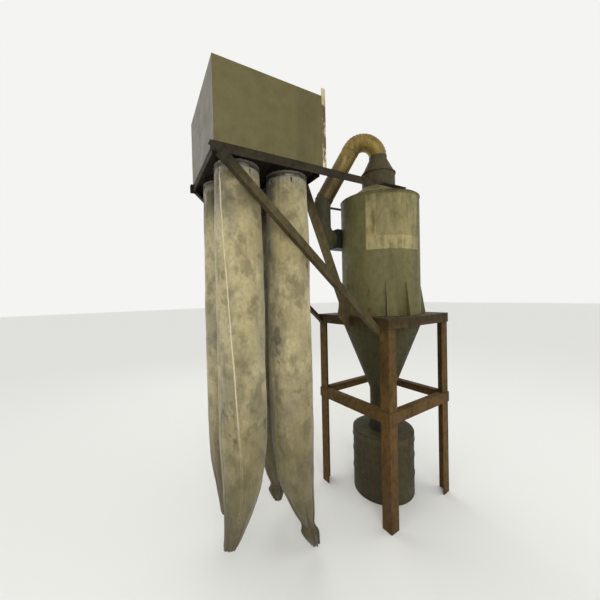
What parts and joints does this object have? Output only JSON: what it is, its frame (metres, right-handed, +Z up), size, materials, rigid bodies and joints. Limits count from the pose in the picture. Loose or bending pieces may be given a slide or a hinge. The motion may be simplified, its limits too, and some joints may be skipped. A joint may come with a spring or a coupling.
{
  "type": "cyclone dust separator with after-filter bags",
  "caption": "Cyclone separator on an angle-iron stand over a dust drum, with a return duct and a plenum of hanging fabric filter bags held out on braced arms.",
  "frame": {"origin": "on the floor, at the centre of the dust drum's base under the cyclone's axis", "axes": "+Z up, +X from the filter bags towards the cyclone, +Y to the rear"},
  "size_m": [1.7549, 0.7892, 2.8292],
  "materials": {
    "stand_angle": "rusted old paint",
    "olive_paint": "worn satin paint",
    "dark_paint": "grimy paint",
    "duct_steel": "rusted galvanised sheet",
    "drum_paint": "dusty paint",
    "sleeve_rubber": "dusty",
    "plenum_paint": "dull paint",
    "strip_paint": "flaking white paint",
    "collar_steel": "sooty",
    "band_steel": "dull",
    "bag_cloth": "dirty cotton"
  },
  "bodies": {
    "root": {"leg_front_left": "stand_angle", "leg_front_right": "stand_angle", "leg_rear_left": "stand_angle", "leg_rear_right": "stand_angle", "ring_front": "stand_angle", "ring_rear": "stand_angle", "ring_left": "stand_angle", "ring_right": "stand_angle", "deck_plate": "olive_paint", "rail_front": "stand_angle", "rail_rear": "stand_angle", "rail_left": "stand_angle", "rail_right": "stand_angle", "barrel": "olive_paint", "barrel_lugs": "olive_paint", "roof": "olive_paint", "cone": "olive_paint", "dust_sleeve": "sleeve_rubber", "drum": "drum_paint", "drum_lid": "drum_paint", "outlet_collar": "dark_paint", "outlet_hood": "dark_paint", "top_bend": "duct_steel", "sloping_duct": "duct_steel", "lower_duct": "duct_steel", "inlet_box": "dark_paint", "duct_bands": "duct_steel", "arm_front": "stand_angle", "arm_rear": "stand_angle", "cross_members": "stand_angle", "brace_front": "stand_angle", "brace_rear": "stand_angle", "middle_strut": "stand_angle", "plenum_front": "plenum_paint", "plenum_rear": "plenum_paint", "plenum_left_end": "plenum_paint", "plenum_right_end": "plenum_paint", "plenum_top": "plenum_paint", "tube_sheet": "collar_steel", "end_strip": "strip_paint", "bag_collars": "collar_steel", "bag_bands": "band_steel", "bag_front_left": "bag_cloth", "bag_front_right": "bag_cloth", "bag_rear_left": "bag_cloth", "bag_rear_right": "bag_cloth"}
  },
  "joints": []
}
